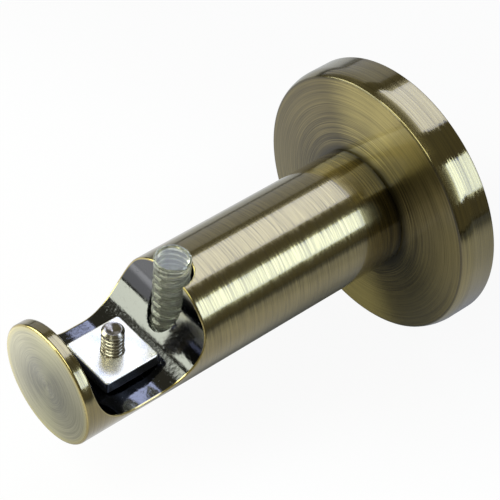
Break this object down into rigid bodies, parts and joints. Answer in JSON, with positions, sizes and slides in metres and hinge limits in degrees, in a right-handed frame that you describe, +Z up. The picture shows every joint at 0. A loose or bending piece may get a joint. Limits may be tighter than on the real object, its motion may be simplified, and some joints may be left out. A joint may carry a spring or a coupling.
{
  "type": "curtain pole bracket",
  "caption": "Wall bracket for a curtain pole: a round antique brass stem with a U-shaped saddle and clamping screws, seated on a domed round wall rose",
  "frame": {"origin": "centre of the wall plane, midway between the two wall screws", "axes": "+Y points into the wall along the stem, +Z is up with the saddle open upwards, and the pole lies along X"},
  "size_m": [0.064, 0.0985, 0.064],
  "materials": {
    "antique_brass": "turned, blackened, brushed back along the turning lines and lacquered; the saddle is left glossy black",
    "zinc_plated_steel": "bright zinc plate",
    "plain_steel": "plain machined steel, lightly oiled",
    "clear_plastic": "clear moulded plastic"
  },
  "bodies": {
    "bracket": {"barrel": "antique_brass", "wall_rose": "antique_brass", "wall_cup": "zinc_plated_steel", "stem_bolt": "plain_steel", "stem_washer": "zinc_plated_steel", "nut_plate": "zinc_plated_steel", "rose_lock_screw": "plain_steel"},
    "clamp_screw": {"clamp_grub_screw": "plain_steel"},
    "lock_screw": {"pole_lock_screw": "clear_plastic"}
  },
  "joints": [
    {"name": "clamp_screw_travel", "type": "slide", "parent": "bracket", "child": "clamp_screw", "axis": [0, 0, 1], "range_m": [-0.0038, 0.006]},
    {"name": "lock_screw_travel", "type": "slide", "parent": "bracket", "child": "lock_screw", "axis": [0, 0, 1], "range_m": [-0.0035, 0.003]}
  ]
}
